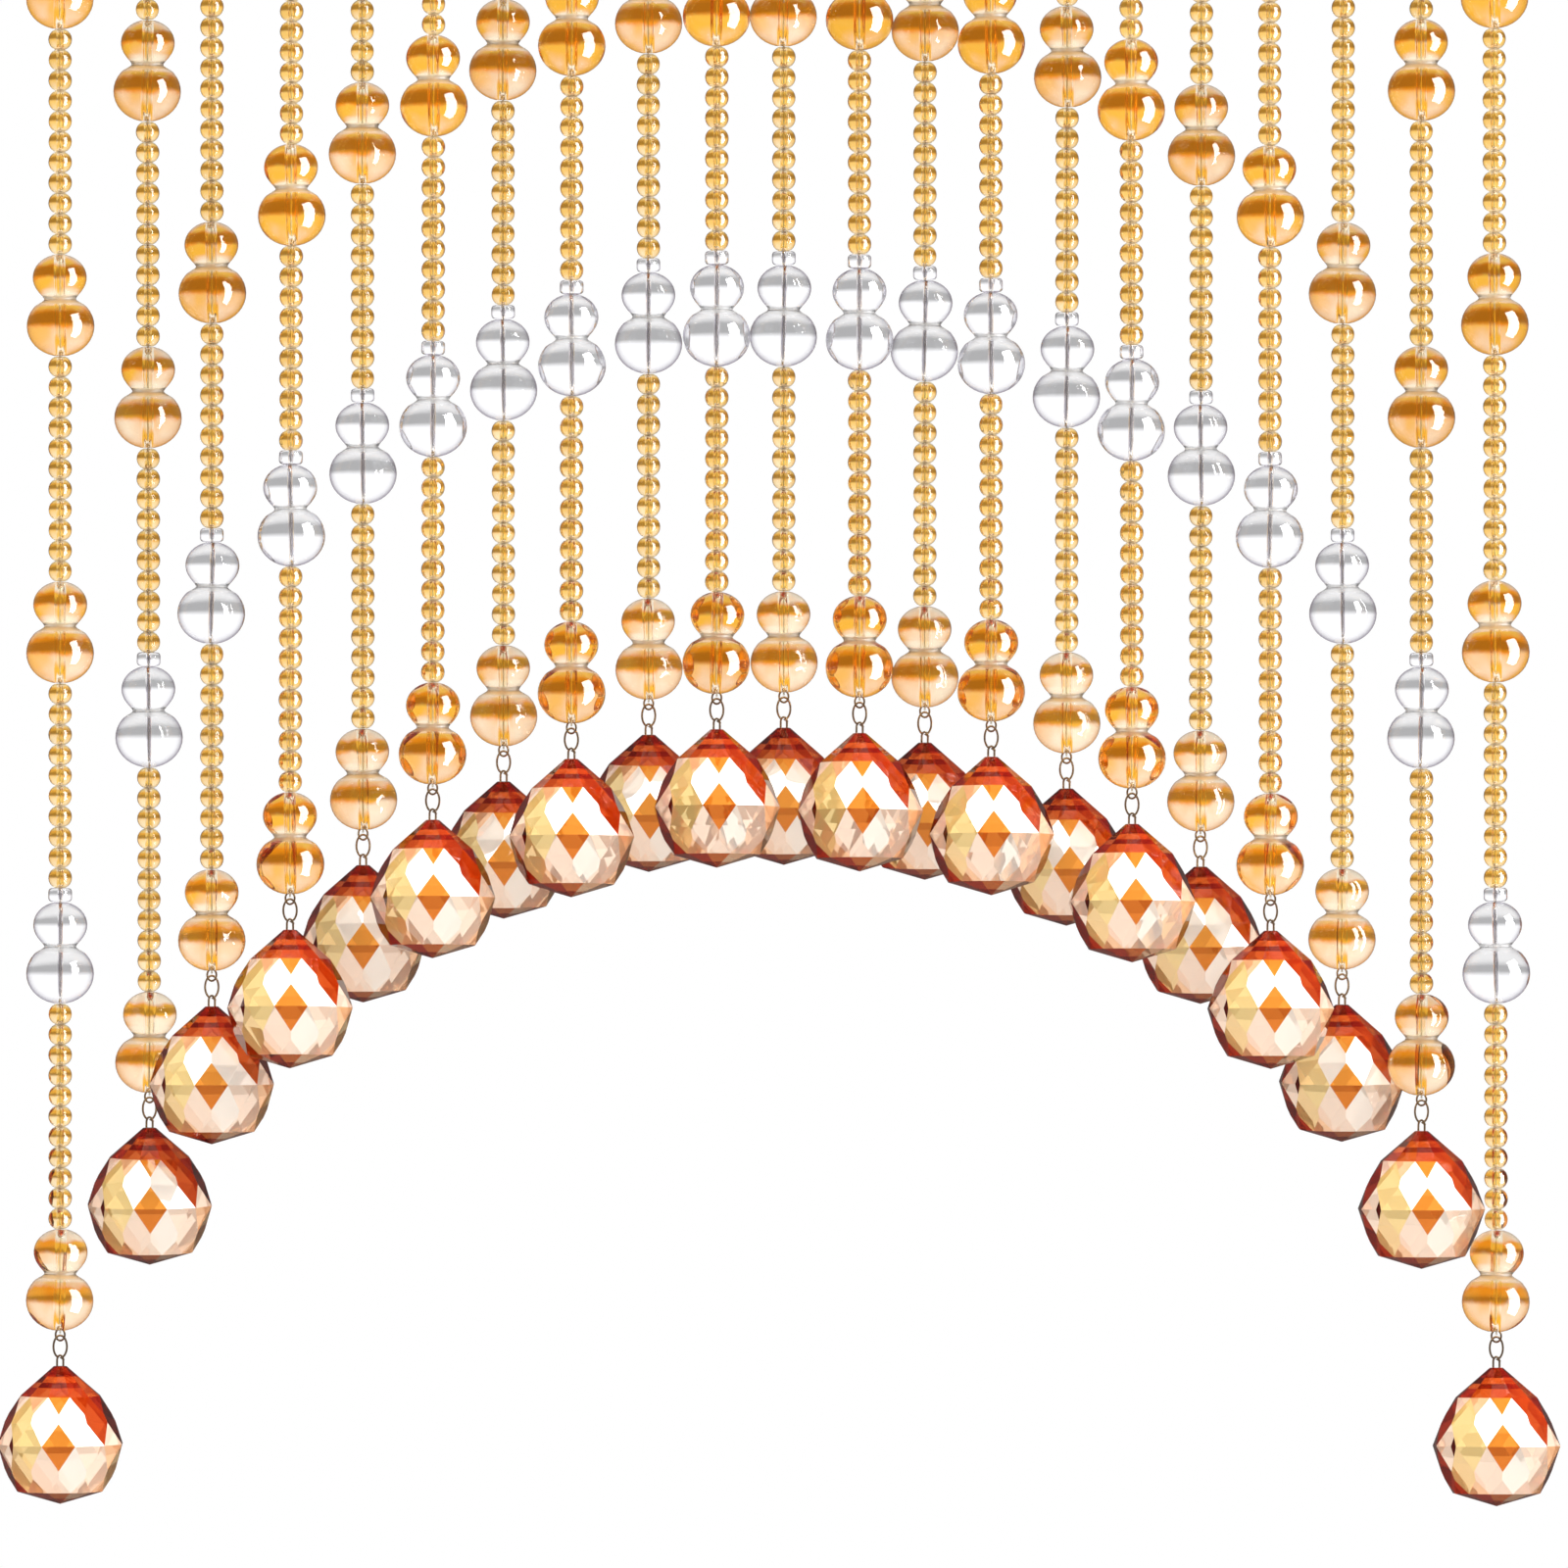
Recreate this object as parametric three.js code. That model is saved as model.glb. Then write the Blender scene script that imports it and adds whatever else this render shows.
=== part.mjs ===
import * as THREE from "three";
import { ConvexGeometry } from "three/addons/geometries/ConvexGeometry.js";

// A bead curtain with an arched lower edge: strands of glass beads hang side by side from
// a folded heading tape, and each ends in a faceted crystal ball on a wire hook.
// Millimetres, +Z up, +X to the viewer's right, the viewer stands on the -Y side.
// The origin is the middle of the tape's top edge.

const tape = { width: 364, height: 25, thickness: 2.4, foldSteps: 4 };
const gap = 0.3;

// Small round beads fill the thread between the gourds.
const smallBead = { diameter: 5.7, pitch: 4.93 };
const thread = { diameter: 1.8 };
const seedBead = { height: 3.3 };

// A gourd bead is a large bulb below a smaller one, with a waist between them. A bulb's
// profile is a stretch of an ellipse, given by its angles from the bulb's lower pole.
const gourd = {
  height: 24.6,
  waist: { diameter: 7.6, height: 13.8 },
  lower: { diameter: 16, height: 14.6, firstAngle: 20, lastAngle: 125, steps: 3 },
  upper: { diameter: 13, height: 11.2, firstAngle: 65, lastAngle: 155, steps: 2 },
};

// Stringing order from the hook upwards. Above the last row the order is gold gourd and
// eleven small beads again, as often as the thread's length allows.
const stringing = [
  { bead: "gold gourd", smallBeadsAbove: 11 },
  { bead: "clear gourd", smallBeadsAbove: 10 },
  { bead: "gold gourd", smallBeadsAbove: 11 },
];
const leastSmallBeadsOnTop = 2;

// The wire hook between the lowest gourd and the tip of the crystal ball.
const hook = { diameter: 2.2, length: 8.5 };

// The crystal ball is cut in rings of corners. Each ring is turned by half a facet from the
// next, so that the faces between them are diamonds. Heights are from the widest ring.
const ball = { facetsAround: 12, tipHeight: 18.7, pointHeight: -14.5 };
const ballRings = [
  { name: "tip", height: ball.tipHeight, diameter: 3.2, halfTurn: true },
  { name: "crown", height: 11.6, diameter: 19.8, halfTurn: true },
  { name: "upper", height: 6.4, diameter: 25.8, halfTurn: false },
  { name: "widest", height: 0, diameter: 31, halfTurn: true },
  { name: "lower", height: -6.9, diameter: 26.1, halfTurn: false },
  { name: "base", height: -11.4, diameter: 21.2, halfTurn: true },
];

// One row for each strand: its place along the tape, the drop from the tape's lower edge to
// the tip of its ball, and how far its ball hangs in front of the tape (or behind, where
// negative), because the balls are wider than the strands are apart and push past each other.
const strands = [
  { across: -172.7, drop: 435.6, forward: 0 },
  { across: -151.9, drop: 378.9, forward: -16 },
  { across: -136.1, drop: 348.9, forward: 1.5 },
  { across: -116.7, drop: 330.7, forward: 17 },
  { across: -100.0, drop: 315.1, forward: -10 },
  { across: -82.6, drop: 304.2, forward: 13 },
  { across: -66.1, drop: 295.0, forward: -13 },
  { across: -49.3, drop: 289.6, forward: 13 },
  { across: -31.0, drop: 283.7, forward: -13 },
  { across: -14.4, drop: 282.5, forward: 13 },
  { across: 1.7, drop: 282.0, forward: -13 },
  { across: 19.9, drop: 283.4, forward: 13 },
  { across: 35.8, drop: 285.6, forward: -13 },
  { across: 51.5, drop: 289.1, forward: 13 },
  { across: 70.1, drop: 296.7, forward: -13 },
  { across: 85.3, drop: 305.2, forward: 13 },
  { across: 102.5, drop: 315.6, forward: -13 },
  { across: 118.7, drop: 330.7, forward: 9 },
  { across: 136.7, drop: 348.9, forward: -12 },
  { across: 155.3, drop: 378.9, forward: 2 },
  { across: 172.7, drop: 435.6, forward: 14 },
];
const strandSides = 8;

const tapeCloth = new THREE.MeshStandardMaterial({ color: 0xe9dcc0, roughness: 0.85, metalness: 0 });
const goldGlass = new THREE.MeshStandardMaterial({ color: 0xe0a84c, roughness: 0.12, metalness: 0 });
const amberCrystal = new THREE.MeshStandardMaterial({ color: 0xe38a45, roughness: 0.05, metalness: 0 });

// The tape is a band folded in half, so its section has flat faces and two round edges.
function headingTape() {
  const edgeRadius = tape.thickness / 2;
  const section = new THREE.Shape();
  section.absarc(0, -edgeRadius, edgeRadius, 0, Math.PI, false);
  section.absarc(0, -tape.height + edgeRadius, edgeRadius, Math.PI, 2 * Math.PI, false);
  section.closePath();
  const geometry = new THREE.ExtrudeGeometry(section, {
    depth: tape.width,
    bevelEnabled: false,
    curveSegments: tape.foldSteps,
    steps: 1,
  });
  geometry.translate(0, 0, -tape.width / 2);
  geometry.rotateX(Math.PI / 2);
  geometry.rotateZ(Math.PI / 2);
  return geometry;
}

// The beads of one strand from the hook up, each with the height of its lower end above
// the ball's tip.
function strungBeads(drop) {
  const beads = [];
  let height = hook.length;
  for (let index = 0; ; index += 1) {
    const row = stringing[Math.min(index, stringing.length - 1)];
    const seedHeight = row.bead === "clear gourd" ? seedBead.height : 0;
    const top = height + gourd.height + seedHeight;
    if (drop - top < leastSmallBeadsOnTop * smallBead.pitch) {
      return beads;
    }
    beads.push({ bead: row.bead, bottom: height, top });
    height = top + row.smallBeadsAbove * smallBead.pitch;
  }
}

// Points (radius, height) on one bulb of a gourd whose lower pole is at the given height.
function bulbProfile(bulb, poleHeight) {
  const points = [];
  for (let step = 0; step <= bulb.steps; step += 1) {
    const degrees = THREE.MathUtils.lerp(bulb.firstAngle, bulb.lastAngle, step / bulb.steps);
    const angle = THREE.MathUtils.degToRad(degrees);
    const radius = (bulb.diameter / 2) * Math.sin(angle);
    const height = poleHeight + (bulb.height / 2) * (1 - Math.cos(angle));
    points.push(new THREE.Vector2(radius, height));
  }
  return points;
}

function gourdProfile(bottom) {
  const waist = new THREE.Vector2(gourd.waist.diameter / 2, bottom + gourd.waist.height);
  const upperPole = bottom + gourd.height - gourd.upper.height;
  return [...bulbProfile(gourd.lower, bottom), waist, ...bulbProfile(gourd.upper, upperPole)];
}

// One strand as a turned solid, with the tape's lower edge at height 0: hook, gourds,
// the chain of small beads between them, and the bare thread under the tape.
function strandGeometry(drop) {
  const chainRadius = smallBead.diameter / 2;
  const hookRadius = hook.diameter / 2;
  const threadRadius = thread.diameter / 2;
  const beads = strungBeads(drop);
  const lastTop = beads[beads.length - 1].top;
  const smallBeadsOnTop = Math.floor((drop - gap - lastTop) / smallBead.pitch);
  const chainTop = lastTop + smallBeadsOnTop * smallBead.pitch;

  const profile = [
    new THREE.Vector2(0, gap),
    new THREE.Vector2(hookRadius, gap),
    new THREE.Vector2(hookRadius, hook.length),
  ];
  for (const { bottom, top } of beads) {
    profile.push(...gourdProfile(bottom));
    profile.push(new THREE.Vector2(chainRadius, top));
  }
  profile.push(new THREE.Vector2(chainRadius, chainTop));
  if (drop - gap - chainTop > gap) {
    profile.push(new THREE.Vector2(threadRadius, chainTop));
    profile.push(new THREE.Vector2(threadRadius, drop - gap));
    profile.push(new THREE.Vector2(0, drop - gap));
  } else {
    profile.push(new THREE.Vector2(0, chainTop));
  }
  const geometry = new THREE.LatheGeometry(profile, strandSides);
  geometry.rotateX(Math.PI / 2);
  geometry.translate(0, 0, -drop);
  return geometry;
}

// The crystal ball, its widest ring at height 0.
function crystalBallGeometry() {
  const facetAngle = (2 * Math.PI) / ball.facetsAround;
  const corners = [new THREE.Vector3(0, 0, ball.pointHeight)];
  for (const ring of ballRings) {
    const radius = ring.diameter / 2;
    const turn = ring.halfTurn ? facetAngle / 2 : 0;
    for (let corner = 0; corner < ball.facetsAround; corner += 1) {
      const angle = corner * facetAngle + turn;
      corners.push(new THREE.Vector3(radius * Math.sin(angle), -radius * Math.cos(angle), ring.height));
    }
  }
  return new ConvexGeometry(corners);
}

function addPiece(group, name, geometry, material) {
  const mesh = new THREE.Mesh(geometry, material);
  mesh.name = name;
  group.add(mesh);
  return mesh;
}

const curtain = new THREE.Group();
addPiece(curtain, "heading_tape", headingTape(), tapeCloth);

const ballGeometry = crystalBallGeometry();
strands.forEach(({ across, drop, forward }, index) => {
  const number = String(index + 1).padStart(2, "0");
  const ballDepth = drop + ball.tipHeight;
  const hangingStrand = new THREE.Group();
  hangingStrand.position.set(across, 0, -tape.height);
  hangingStrand.rotation.x = -Math.asin(forward / ballDepth);
  addPiece(hangingStrand, `strand_${number}`, strandGeometry(drop), goldGlass);
  const ballMesh = addPiece(hangingStrand, `crystal_ball_${number}`, ballGeometry, amberCrystal);
  ballMesh.position.z = -ballDepth;
  curtain.add(hangingStrand);
});

export default curtain;
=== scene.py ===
import math
import random

import bpy
from mathutils import Matrix, Vector


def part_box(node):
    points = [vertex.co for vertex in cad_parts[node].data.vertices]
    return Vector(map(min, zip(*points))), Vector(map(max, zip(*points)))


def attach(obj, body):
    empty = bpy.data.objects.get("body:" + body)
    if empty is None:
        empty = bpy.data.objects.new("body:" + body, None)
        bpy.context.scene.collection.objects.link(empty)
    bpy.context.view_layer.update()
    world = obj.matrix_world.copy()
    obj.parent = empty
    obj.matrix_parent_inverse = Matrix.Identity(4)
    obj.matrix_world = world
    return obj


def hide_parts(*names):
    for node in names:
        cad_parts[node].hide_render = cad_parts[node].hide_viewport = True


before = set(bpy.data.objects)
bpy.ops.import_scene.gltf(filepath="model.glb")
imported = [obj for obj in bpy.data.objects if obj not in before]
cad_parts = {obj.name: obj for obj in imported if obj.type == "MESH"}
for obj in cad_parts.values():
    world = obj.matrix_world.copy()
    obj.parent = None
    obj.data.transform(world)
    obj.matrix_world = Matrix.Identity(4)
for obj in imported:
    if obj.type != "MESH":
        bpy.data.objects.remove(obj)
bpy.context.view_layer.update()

# The photograph looks straight at the curtain's lower part and cuts off its top. A long lens far
# away sees every strand square on. The picture is 378 mm wide at the strands.
MM = 0.001
view_middle = Vector((1.75, 0, -320.3)) * MM
view_width = 377.9 * MM
lens = 300
sensor_width = 36
light_bounces = 20

camera_data = bpy.data.cameras.new("camera")
camera_data.lens = lens
camera_data.sensor_width = sensor_width
camera = bpy.data.objects.new("camera", camera_data)
camera.location = view_middle - Vector((0, view_width * lens / sensor_width, 0))
camera.rotation_euler = (math.radians(90), 0, 0)
bpy.context.collection.objects.link(camera)
bpy.context.scene.camera = camera
bpy.context.scene.view_settings.view_transform = "Standard"
bpy.context.scene.cycles.max_bounces = light_bounces
bpy.context.scene.cycles.transmission_bounces = light_bounces
bpy.context.scene.cycles.transparent_max_bounces = light_bounces

# The studio is a white room with a darker band just under the horizon. Glass bends that band into
# the deep colour in the upper half of each bead. Reflections find the room dim, which leaves the
# glass its colour at the rims. The camera itself sees plain white.
room_white = (1.0, 1.0, 1.0, 1)
room_dim = (0.17, 0.13, 0.12, 1)
room_ramp = [
    (0.00, 1.08),
    (0.23, 1.08),
    (0.31, 0.62),
    (0.37, 0.47),
    (0.465, 0.47),
    (0.52, 1.10),
    (1.00, 1.12),
]


def feed(links, value, socket):
    """Links another node's output to a socket, or sets the socket to a plain value."""
    if isinstance(value, bpy.types.NodeSocket):
        links.new(value, socket)
    else:
        socket.default_value = value


def calculated(nodes, links, operation, *values):
    """The result of a Math node on outputs of other nodes and plain numbers."""
    node = nodes.new("ShaderNodeMath")
    node.operation = operation
    for value, socket in zip(values, node.inputs):
        feed(links, value, socket)
    return node.outputs[0]


def ranged(nodes, links, value, start, end, low=0, high=1, smooth=False):
    """A value taken from the range start to end onto low to high, with eased ends if smooth."""
    node = nodes.new("ShaderNodeMapRange")
    node.interpolation_type = "SMOOTHSTEP" if smooth else "LINEAR"
    given = {"Value": value, "From Min": start, "From Max": end, "To Min": low, "To Max": high}
    for name, part in given.items():
        feed(links, part, node.inputs[name])
    return node.outputs["Result"]


def mixed_colour(nodes, links, share, first, second, blend="MIX"):
    """The colour between two colours, by a share of the second."""
    node = nodes.new("ShaderNodeMix")
    node.data_type = "RGBA"
    node.blend_type = blend
    sockets = {socket.identifier: socket for socket in [*node.inputs, *node.outputs]}
    feed(links, share, sockets["Factor_Float"])
    feed(links, first, sockets["A_Color"])
    feed(links, second, sockets["B_Color"])
    return sockets["Result_Color"]


world = bpy.data.worlds.new("white room")
world.use_nodes = True
bpy.context.scene.world = world
nodes = world.node_tree.nodes
links = world.node_tree.links
nodes.clear()
direction = nodes.new("ShaderNodeTexCoord")
direction_parts = nodes.new("ShaderNodeSeparateXYZ")
room_tone = nodes.new("ShaderNodeValToRGB")
stops = room_tone.color_ramp.elements
for position, tone in room_ramp[1:-1]:
    stops.new(position)
for stop, (position, tone) in zip(stops, room_ramp):
    stop.position = position
    stop.color = (tone, tone, tone, 1)
links.new(direction.outputs["Generated"], direction_parts.inputs[0])
height_share = ranged(nodes, links, direction_parts.outputs["Z"], -1, 1)
links.new(height_share, room_tone.inputs["Fac"])
seen_by = nodes.new("ShaderNodeLightPath")
reflection = seen_by.outputs["Is Reflection Ray"]
mirrored = calculated(nodes, links, "MULTIPLY", reflection, seen_by.outputs["Is Glossy Ray"])
reflected_room = mixed_colour(nodes, links, mirrored, room_tone.outputs["Color"], room_dim)
seen_room = mixed_colour(nodes, links, seen_by.outputs["Is Camera Ray"], reflected_room, room_white)
room_light = nodes.new("ShaderNodeBackground")
room_output = nodes.new("ShaderNodeOutputWorld")
links.new(seen_room, room_light.inputs["Color"])
links.new(room_light.outputs["Background"], room_output.inputs["Surface"])

# Soft boxes stand round the front of the curtain, and each lights one kind of glass. Three of them
# whiten single facets of the crystal balls, and a tall one makes the highlight on every bead.
cut_glass_lit = bpy.data.collections.new("cut glass")
beads_lit = bpy.data.collections.new("beads")
soft_boxes = [
    {"towards": (-0.35, -0.55, 0.76), "width": 2.0, "height": 2.4, "radiance": 26, "lit": cut_glass_lit},
    {"towards": (0.46, -0.48, 0.75), "width": 2.0, "height": 2.4, "radiance": 26, "lit": cut_glass_lit},
    {"towards": (0.82, -0.33, 0.47), "width": 2.1, "height": 2.4, "radiance": 26, "lit": cut_glass_lit},
    {"towards": (0.92, -0.39, 0.02), "width": 4.8, "height": 12.0, "radiance": 22, "lit": beads_lit},
]
soft_box_distance = 6.0
for number, box in enumerate(soft_boxes):
    light_data = bpy.data.lights.new(f"soft box {number}", "AREA")
    light_data.shape = "RECTANGLE"
    light_data.size = box["width"]
    light_data.size_y = box["height"]
    light_data.energy = box["radiance"] * math.pi * box["width"] * box["height"]
    light = bpy.data.objects.new(light_data.name, light_data)
    towards = Vector(box["towards"]).normalized()
    light.location = view_middle + towards * soft_box_distance
    light.rotation_euler = towards.to_track_quat("Z", "Y").to_euler()
    light.light_linking.receiver_collection = box["lit"]
    light.visible_transmission = False
    bpy.context.collection.objects.link(light)

# The floor is a round sheet of pale paper below the picture, whose rim fades into the white room.
# The beads don't mirror it.
floor_height = -0.60
floor_radius = 1.4
floor_solid_radius = 0.56
floor_corner_count = 96
floor_colour = (0.86, 0.86, 0.85, 1)


def new_material(name):
    """A new material with its nodes, its links and its Principled shader."""
    material = bpy.data.materials.new(name)
    material.use_nodes = True
    tree = material.node_tree
    return material, tree.nodes, tree.links, tree.nodes["Principled BSDF"]


def from_axis(nodes, links, place):
    """Distance of a place from the upright axis through the origin."""
    flat_place = nodes.new("ShaderNodeVectorMath")
    flat_place.operation = "MULTIPLY"
    flat_place.inputs[1].default_value = (1, 1, 0)
    length = nodes.new("ShaderNodeVectorMath")
    length.operation = "LENGTH"
    links.new(place, flat_place.inputs[0])
    links.new(flat_place.outputs["Vector"], length.inputs[0])
    return length.outputs["Value"]


floor_mesh = bpy.data.meshes.new("floor")
floor_corners = []
for step in range(floor_corner_count):
    angle = 2 * math.pi * step / floor_corner_count
    floor_corners.append((floor_radius * math.cos(angle), floor_radius * math.sin(angle), floor_height))
floor_mesh.from_pydata(floor_corners, [], [range(floor_corner_count)])
floor = bpy.data.objects.new("floor", floor_mesh)
bpy.context.collection.objects.link(floor)
paper, nodes, links, shader = new_material("floor paper")
shader.inputs["Base Color"].default_value = floor_colour
shader.inputs["Roughness"].default_value = 0.9
place = nodes.new("ShaderNodeTexCoord")
from_middle = from_axis(nodes, links, place.outputs["Object"])
paper_share = ranged(nodes, links, from_middle, floor_radius, floor_solid_radius, smooth=True)
links.new(paper_share, shader.inputs["Alpha"])
floor_mesh.materials.append(paper)
floor.visible_glossy = False

# The heading tape is a plain woven band, folded in half over the strands' ends. Its own cut edges
# meet at the bottom, where two rows of stitches close it.
tape_low, tape_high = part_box("heading_tape")
tape_width = tape_high.x - tape_low.x
tape_height = tape_high.z - tape_low.z
tape_thickness = tape_high.y - tape_low.y
layer_thickness = 1.05 * MM
fold_steps = 8
tape_steps = 240
row_spacing = 1.6 * MM
pucker_depth = 0.12 * MM
pucker_lengths = (2.9 * MM, 7.3 * MM)
sharp_edge_angle = math.radians(50)
cloth_cream = (0.93, 0.86, 0.70, 1)
cloth_painted_shade = (0.76, 0.66, 0.48, 1)
yarns_per_metre = 1700
yarn_height = 0.25 * MM
slub_share = 0.35
yarn_roughness = (0.95, 0.75)


def folded_section():
    """Points (across, up) round the section of the folded band, with its two layers parted."""
    outer = tape_thickness / 2
    inner = outer - layer_thickness
    fold_middle = tape_high.z - outer
    points = []
    for step in range(fold_steps + 1):
        angle = math.pi * step / fold_steps
        points.append((outer * math.cos(angle), fold_middle + outer * math.sin(angle)))
    points.append((-outer, tape_low.z))
    points.append((-inner, tape_low.z))
    for step in range(fold_steps + 1):
        angle = math.pi * (1 - step / fold_steps)
        points.append((inner * math.cos(angle), fold_middle + inner * math.sin(angle)))
    points.append((inner, tape_low.z))
    points.append((outer, tape_low.z))
    return points


def with_rows(section, most):
    """The section with points added, so that no stretch between two is longer than most."""
    points = []
    for (across, up), (next_across, next_up) in zip(section, section[1:] + section[:1]):
        pieces = max(1, math.ceil(math.hypot(next_across - across, next_up - up) / most))
        for piece in range(pieces):
            share = piece / pieces
            points.append((across + (next_across - across) * share, up + (next_up - up) * share))
    return points


def pucker(along, up):
    """How far the cloth is pulled out of true between its stitches, more towards the lower edge."""
    lower_share = (tape_high.z - up) / tape_height
    short, long = pucker_lengths
    return pucker_depth * lower_share * math.sin(along / short) * math.sin(along / long)


section = with_rows(folded_section(), row_spacing)
tape_corners = []
tape_faces = []
for step in range(tape_steps + 1):
    along = tape_low.x + tape_width * step / tape_steps
    for across, up in section:
        tape_corners.append((along, across + pucker(along, up), up))
count = len(section)
for step in range(tape_steps):
    for row in range(count):
        after = (row + 1) % count
        here = step * count
        there = here + count
        tape_faces.append((here + row, here + after, there + after, there + row))
tape_faces.append([*range(count)][::-1])
tape_faces.append([tape_steps * count + row for row in range(count)])
tape_mesh = bpy.data.meshes.new("heading_tape_cloth")
tape_mesh.from_pydata(tape_corners, [], tape_faces)
tape_mesh.validate()
tape_mesh.shade_smooth()
tape_mesh.set_sharp_from_angle(angle=sharp_edge_angle)
tape = bpy.data.objects.new("heading_tape_cloth", tape_mesh)
bpy.context.collection.objects.link(tape)


def socketed_group(name, inputs, outputs):
    """An empty node group with its named inputs and outputs, and its two end nodes."""
    group = bpy.data.node_groups.new(name, "ShaderNodeTree")
    for socket, kind in inputs:
        group.interface.new_socket(socket, in_out="INPUT", socket_type="NodeSocket" + kind)
    for socket, kind in outputs:
        group.interface.new_socket(socket, in_out="OUTPUT", socket_type="NodeSocket" + kind)
    return group, group.nodes.new("NodeGroupInput"), group.nodes.new("NodeGroupOutput")


def noise(nodes, links, vector, scale, detail):
    """A noise texture over a vector, as a value from 0 to 1."""
    texture = nodes.new("ShaderNodeTexNoise")
    texture.inputs["Scale"].default_value = scale
    texture.inputs["Detail"].default_value = detail
    links.new(vector, texture.inputs["Vector"])
    return texture.outputs["Fac"]


def bumped(nodes, links, shader, height, distance, strength=1):
    """Lets a height between 0 and 1 raise the surface by up to a distance in metres."""
    bump = nodes.new("ShaderNodeBump")
    bump.inputs["Strength"].default_value = strength
    bump.inputs["Distance"].default_value = distance
    links.new(height, bump.inputs["Height"])
    links.new(bump.outputs["Normal"], shader.inputs["Normal"])


def woven_pattern():
    """A node group for plain weave: the height of its yarns, and how unevenly they are spun."""
    inputs = [("Vector", "Vector"), ("Yarns", "Float")]
    group, given, result = socketed_group(
        "plain weave", inputs, [("Height", "Float"), ("Unevenness", "Float")]
    )
    nodes = group.nodes
    links = group.links
    scaled = nodes.new("ShaderNodeVectorMath")
    scaled.operation = "SCALE"
    links.new(given.outputs["Vector"], scaled.inputs[0])
    links.new(given.outputs["Yarns"], scaled.inputs["Scale"])
    parts = nodes.new("ShaderNodeSeparateXYZ")
    links.new(scaled.outputs["Vector"], parts.inputs[0])
    waves = []
    for axis in ("X", "Z"):
        turn = calculated(nodes, links, "MULTIPLY", parts.outputs[axis], math.pi)
        waves.append(calculated(nodes, links, "SINE", turn))
    crossing = calculated(nodes, links, "MULTIPLY", *waves)
    height = calculated(nodes, links, "ABSOLUTE", crossing)
    slubs = noise(nodes, links, scaled.outputs["Vector"], scale=0.12, detail=4)
    links.new(height, result.inputs["Height"])
    links.new(slubs, result.inputs["Unevenness"])
    return group


weave_group = woven_pattern()


def woven_cloth(name, light_colour, dark_colour, yarns, depth):
    """A cloth material with the plain weave's yarns in its colour, roughness and bump. Its colour is
    darker in the low places between the yarns as painted shade.
    """
    material, nodes, links, shader = new_material(name)
    shader.inputs["Sheen Weight"].default_value = 0.3
    place = nodes.new("ShaderNodeTexCoord")
    weave = nodes.new("ShaderNodeGroup")
    weave.node_tree = weave_group
    weave.inputs["Yarns"].default_value = yarns
    links.new(place.outputs["Object"], weave.inputs["Vector"])
    height = weave.outputs["Height"]
    # Painted shade: the low places of the weave get the darker colour.
    yarn_colour = mixed_colour(nodes, links, height, dark_colour, light_colour)
    slubs = weave.outputs["Unevenness"]
    slubbed = mixed_colour(nodes, links, slub_share, yarn_colour, slubs, blend="MULTIPLY")
    links.new(slubbed, shader.inputs["Base Color"])
    links.new(ranged(nodes, links, height, 0, 1, *yarn_roughness), shader.inputs["Roughness"])
    bumped(nodes, links, shader, height, depth)
    return material


tape_mesh.materials.append(
    woven_cloth("tape cloth", cloth_cream, cloth_painted_shade, yarns_per_metre, yarn_height)
)
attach(tape, "root")
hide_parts("heading_tape")

# The stitches are of a twisted cotton thread. Two rows run along the lower edge, one row closes
# each end, and a dense bar tack holds the thread of every strand. From here on, lengths are in
# millimetres unless they are multiplied by MM.
stitch_diameter = 0.42
stitch_length = 2.8
stitch_gap = 0.7
stitch_bow = [(0, -0.15), (0.12, 0.16), (0.5, 0.21), (0.88, 0.16), (1, -0.15)]
row_heights = (1.8, 4.6)
end_row_inset = 3.5
fold_inset = 1.5
tack_width = 4.2
tack_low = 0.7
tack_high = 5.6
tack_passes = 9
strand_count = 21
cotton_light = (0.95, 0.90, 0.78, 1)
cotton_painted_shade = (0.72, 0.63, 0.46, 1)
ply_scale = 900
ply_height = 0.08 * MM


def wire_mesh(lines, diameter, material):
    """One mesh of round wires or threads. Each line is (points, closed), in millimetres."""
    curve = bpy.data.curves.new("wires", "CURVE")
    curve.dimensions = "3D"
    curve.bevel_depth = diameter / 2 * MM
    curve.bevel_resolution = 2
    curve.use_fill_caps = True
    for points, closed in lines:
        spline = curve.splines.new("POLY")
        spline.points.add(len(points) - 1)
        for spot, point in zip(spline.points, points):
            spot.co = (*(Vector(point) * MM), 1)
        spline.use_cyclic_u = closed
    shaper = bpy.data.objects.new("wires", curve)
    mesh = bpy.data.meshes.new_from_object(shaper)
    bpy.data.objects.remove(shaper)
    bpy.data.curves.remove(curve)
    mesh.materials.append(material)
    mesh.shade_smooth()
    return mesh


def twisted_cotton(name, light_colour, dark_colour):
    """A matt thread material with the slanting ridges of its twisted plies, darker in the grooves
    between them as painted shade.
    """
    material, nodes, links, shader = new_material(name)
    shader.inputs["Roughness"].default_value = 0.8
    shader.inputs["Sheen Weight"].default_value = 0.4
    place = nodes.new("ShaderNodeTexCoord")
    plies = nodes.new("ShaderNodeTexWave")
    plies.bands_direction = "DIAGONAL"
    plies.inputs["Scale"].default_value = ply_scale
    plies.inputs["Distortion"].default_value = 1.5
    links.new(place.outputs["Object"], plies.inputs["Vector"])
    # Painted shade: the grooves between the plies get the darker colour.
    ply_colour = mixed_colour(nodes, links, plies.outputs["Fac"], dark_colour, light_colour)
    links.new(ply_colour, shader.inputs["Base Color"])
    bumped(nodes, links, shader, plies.outputs["Fac"], ply_height)
    return material


def on_cloth(along, up, side, rise):
    """A point in millimetres on the front (-1) or back (1) of the tape, raised by a little."""
    face = side * tape_thickness / 2 + pucker(along * MM, up * MM)
    return (along, face / MM + side * rise, up)


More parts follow.
